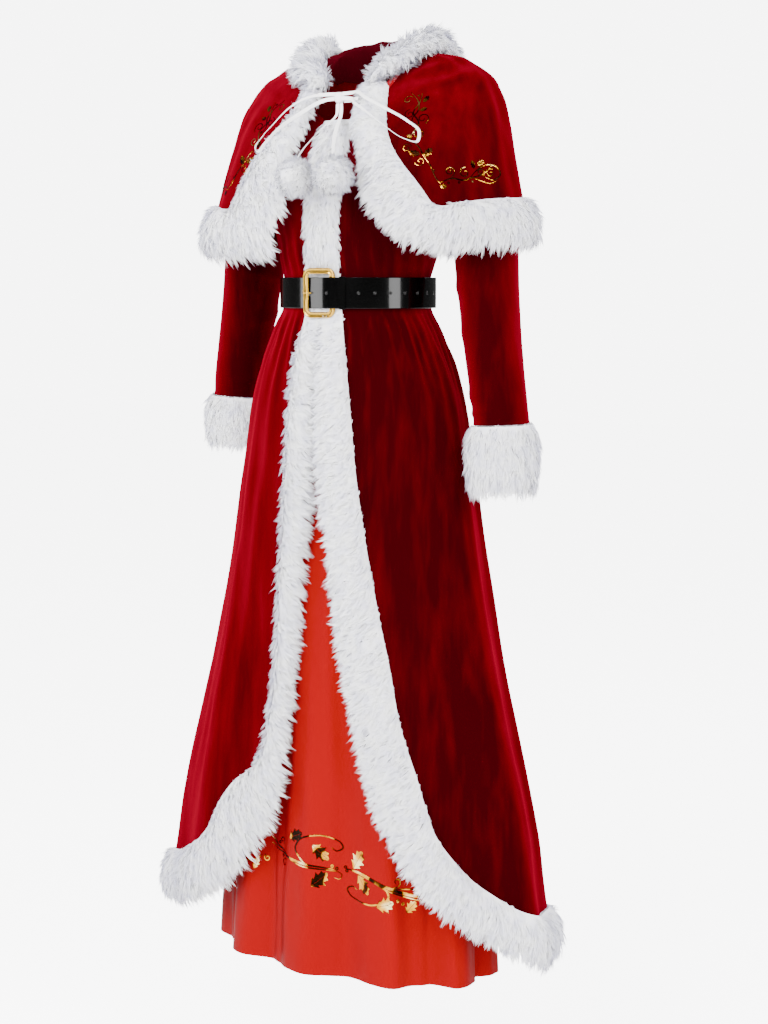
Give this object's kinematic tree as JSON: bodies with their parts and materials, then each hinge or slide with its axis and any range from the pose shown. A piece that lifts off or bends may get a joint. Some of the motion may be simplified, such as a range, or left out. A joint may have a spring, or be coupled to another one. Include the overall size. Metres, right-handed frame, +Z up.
{
  "type": "long hooded dress costume",
  "caption": "Long velvet overdress with fur bands over a satin skirt, buckled belt and hooded capelet tied with a pompom ribbon, in its worn form with no wearer.",
  "frame": {"origin": "on the body axis at shoulder level, where the shoulders of a wearer or form hold the dress", "axes": "+Z up, the front faces -Y, the wearer's left is +X"},
  "size_m": [0.7243, 0.4062, 1.4708],
  "materials": {
    "velvet": "crushed velvet, deep red",
    "hood_velvet": "velvet seen from inside, dark red",
    "fur": "long white faux fur",
    "satin": "bright red satin with printed gold foil",
    "patent": "black patent, glossy",
    "gold_metal": "pale gold plating, polished",
    "ribbon": "white satin ribbon"
  },
  "bodies": {
    "root": {"bodice_front_left": "velvet", "bodice_front_right": "velvet", "bodice_back": "velvet", "sleeve_left": "velvet", "sleeve_right": "velvet", "overskirt_front_left": "velvet", "overskirt_front_right": "velvet", "overskirt_back": "velvet", "cape": "velvet", "hood_left": "hood_velvet", "hood_right": "hood_velvet", "placket_fur": "fur", "cuff_fur_left": "fur", "cuff_fur_right": "fur", "skirt_fur_front_left": "fur", "skirt_fur_front_right": "fur", "skirt_fur_back": "fur", "cape_fur_front_left": "fur", "cape_fur_front_right": "fur", "cape_fur_back": "fur", "hood_fur": "fur", "pompom_left": "fur", "pompom_right": "fur", "satin_skirt_front": "satin", "satin_skirt_back": "satin", "belt_strap": "patent", "belt_tail": "patent", "belt_keeper": "patent", "buckle_frame": "gold_metal", "buckle_prong": "gold_metal", "tie_left": "ribbon", "tie_right": "ribbon", "bow_loop_left": "ribbon", "bow_loop_right": "ribbon", "tail_left": "ribbon", "tail_right": "ribbon", "tie_knot": "ribbon"}
  },
  "joints": []
}
